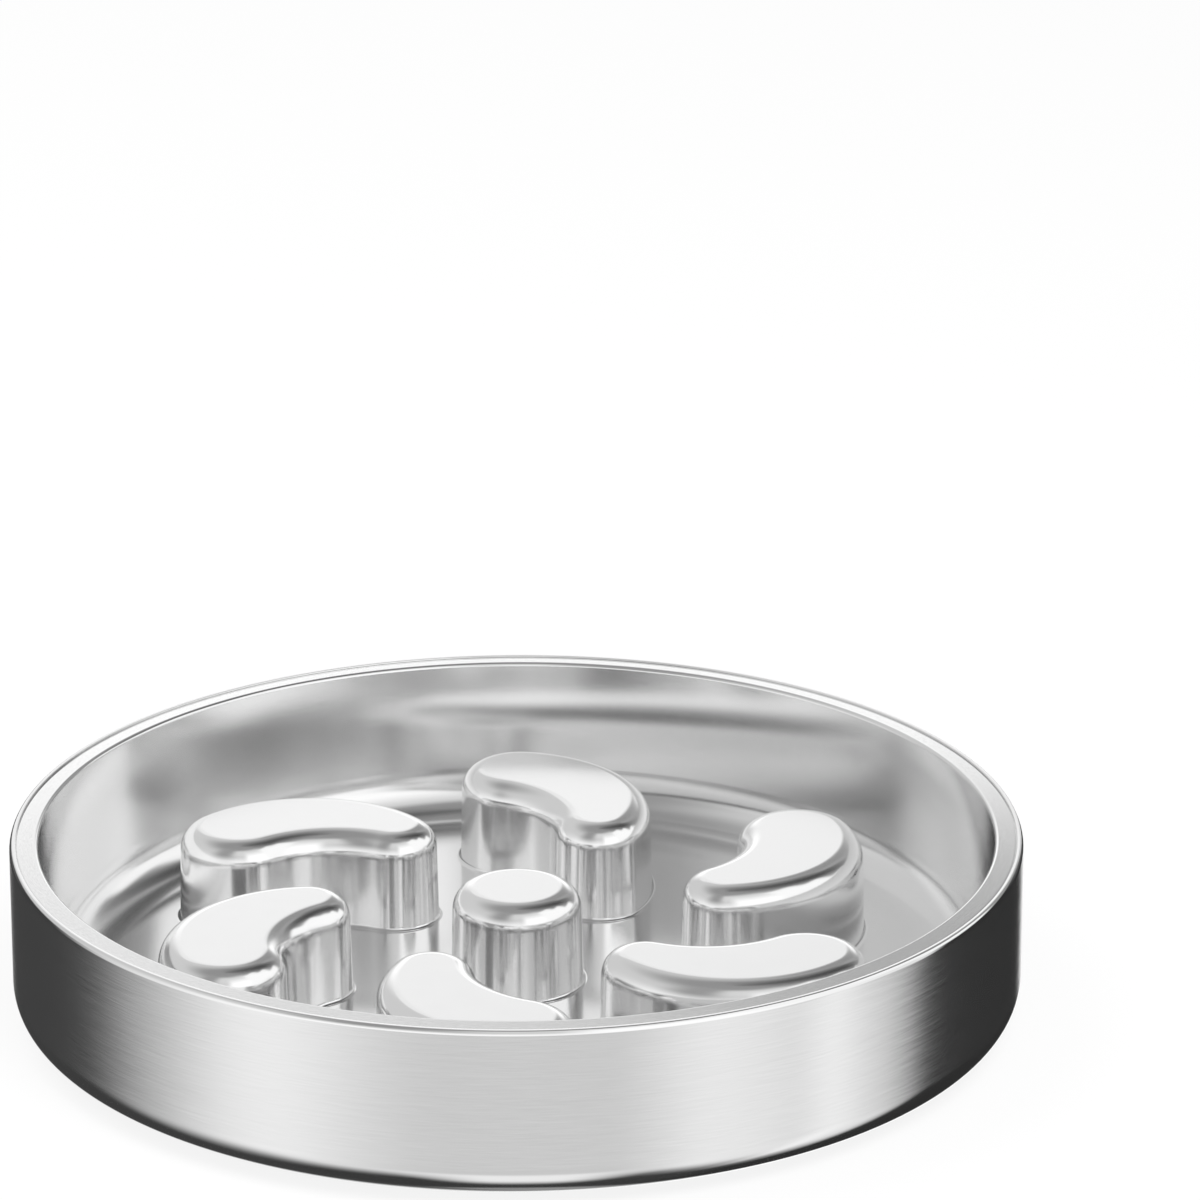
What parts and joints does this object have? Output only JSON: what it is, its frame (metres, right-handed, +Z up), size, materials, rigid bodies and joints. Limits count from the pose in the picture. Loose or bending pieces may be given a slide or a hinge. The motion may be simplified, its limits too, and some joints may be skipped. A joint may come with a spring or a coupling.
{
  "type": "slow feeder bowl",
  "caption": "Round double-walled steel feeding bowl with comma-shaped raised islands in a swirl and a grooved rubber foot ring.",
  "frame": {"origin": "centre of the footprint, on the surface the bowl stands on", "axes": "+Z up out of the bowl's mouth, along its axis; +Y through the head of island_1; -Y is the picture's front"},
  "size_m": [0.26, 0.26, 0.0475],
  "materials": {
    "brushed_shell": "stainless steel, brushed round the side wall and spun in fine rings on the base, with polished corners",
    "polished_liner": "stainless steel, polished dish with a fine satin rim land",
    "polished_island": "stainless steel, polished with soft rounded edges",
    "charcoal_rubber": "charcoal rubber with a fine pebbled grain",
    "white_tape": "foam adhesive tape, hidden behind the ring"
  },
  "bodies": {
    "root": {"outer_shell": "brushed_shell", "inner_liner": "polished_liner", "centre_island": "polished_island", "island_1": "polished_island", "island_2": "polished_island", "island_3": "polished_island", "island_4": "polished_island", "island_5": "polished_island", "island_6": "polished_island", "non_slip_ring": "charcoal_rubber", "ring_tape": "white_tape"}
  },
  "joints": []
}
